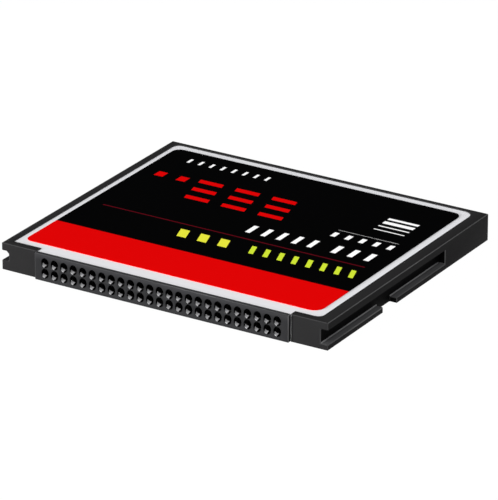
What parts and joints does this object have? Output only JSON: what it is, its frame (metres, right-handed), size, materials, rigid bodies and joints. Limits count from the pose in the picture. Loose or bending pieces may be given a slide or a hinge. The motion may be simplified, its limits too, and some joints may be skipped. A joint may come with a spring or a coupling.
{
  "type": "compact flash memory card",
  "caption": "Flat flash memory card with a two-row socket connector across one edge, guide grooves along its sides and a pale metal cover with a printed label.",
  "frame": {"origin": "under the middle of the card, on the plane of its underside", "axes": "+X along the connector, towards the side with the thin lower lip; +Y from the connector to the back edge; +Z from the underside to the label"},
  "size_m": [0.0428, 0.0364, 0.0033],
  "materials": {
    "frame_plastic": "black moulded plastic, fine satin",
    "connector_plastic": "dark grey moulded plastic, satin",
    "cover_steel": "pale stainless sheet, fine satin",
    "label_film": "printed film, black with a red band, semi-gloss",
    "contact_metal": "tin-plated copper alloy strip",
    "board_laminate": "green solder mask",
    "package_resin": "black moulding resin",
    "crystal_can": "drawn metal can"
  },
  "bodies": {
    "root": {"frame": "frame_plastic", "top_cover": "cover_steel", "bottom_cover": "cover_steel", "label": "label_film", "connector_housing": "connector_plastic", "circuit_board": "board_laminate", "controller_chip": "package_resin", "flash_chip_1": "package_resin", "flash_chip_2": "package_resin", "crystal": "crystal_can", "contact_01": "contact_metal", "contact_02": "contact_metal", "contact_03": "contact_metal", "contact_04": "contact_metal", "contact_05": "contact_metal", "contact_06": "contact_metal", "contact_07": "contact_metal", "contact_08": "contact_metal", "contact_09": "contact_metal", "contact_10": "contact_metal", "contact_11": "contact_metal", "contact_12": "contact_metal", "contact_13": "contact_metal", "contact_14": "contact_metal", "contact_15": "contact_metal", "contact_16": "contact_metal", "contact_17": "contact_metal", "contact_18": "contact_metal", "contact_19": "contact_metal", "contact_20": "contact_metal", "contact_21": "contact_metal", "contact_22": "contact_metal", "contact_23": "contact_metal", "contact_24": "contact_metal", "contact_25": "contact_metal", "contact_26": "contact_metal", "contact_27": "contact_metal", "contact_28": "contact_metal", "contact_29": "contact_metal", "contact_30": "contact_metal", "contact_31": "contact_metal", "contact_32": "contact_metal", "contact_33": "contact_metal", "contact_34": "contact_metal", "contact_35": "contact_metal", "contact_36": "contact_metal", "contact_37": "contact_metal", "contact_38": "contact_metal", "contact_39": "contact_metal", "contact_40": "contact_metal", "contact_41": "contact_metal", "contact_42": "contact_metal", "contact_43": "contact_metal", "contact_44": "contact_metal", "contact_45": "contact_metal", "contact_46": "contact_metal", "contact_47": "contact_metal", "contact_48": "contact_metal", "contact_49": "contact_metal", "contact_50": "contact_metal"}
  },
  "joints": []
}
